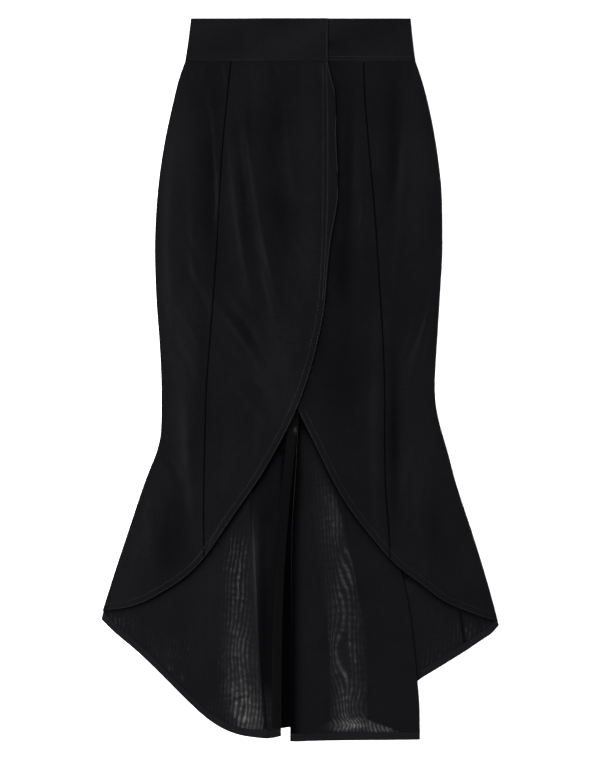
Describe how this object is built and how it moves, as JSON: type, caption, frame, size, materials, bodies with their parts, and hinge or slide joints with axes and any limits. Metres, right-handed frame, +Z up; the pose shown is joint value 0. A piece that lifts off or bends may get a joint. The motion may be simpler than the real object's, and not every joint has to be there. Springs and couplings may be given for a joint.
{
  "type": "long skirt",
  "caption": "High-waisted long skirt with a wrapped front and a fishtail, laid flat; the tail's inset lies folded on the back.",
  "frame": {"origin": "centre of the laid skirt's outline, on the surface it lies on", "axes": "+Y from the hem to the waist, +X to the right as the front is seen, +Z up through the front"},
  "size_m": [0.6158, 1.119, 0.0102],
  "materials": {
    "shell": "crisp black cloth with a soft sheen",
    "sheer_back": "the same black cloth as a single sheer layer",
    "waistband": "black cloth, doubled and stiffened, matte",
    "hem_facing": "black cloth strip, doubled, matte"
  },
  "bodies": {
    "root": {"front_over_centre": "shell", "front_over_side": "shell", "front_under_centre": "shell", "front_under_side": "shell", "back_left_side": "sheer_back", "back_left_centre": "sheer_back", "back_right_centre": "sheer_back", "back_right_side": "sheer_back", "tail_godet": "sheer_back", "waistband_back": "waistband", "waistband_front_over": "waistband", "waistband_front_under": "waistband", "hem_facing_left": "hem_facing", "hem_facing_right": "hem_facing", "hem_facing_godet": "hem_facing"}
  },
  "joints": []
}
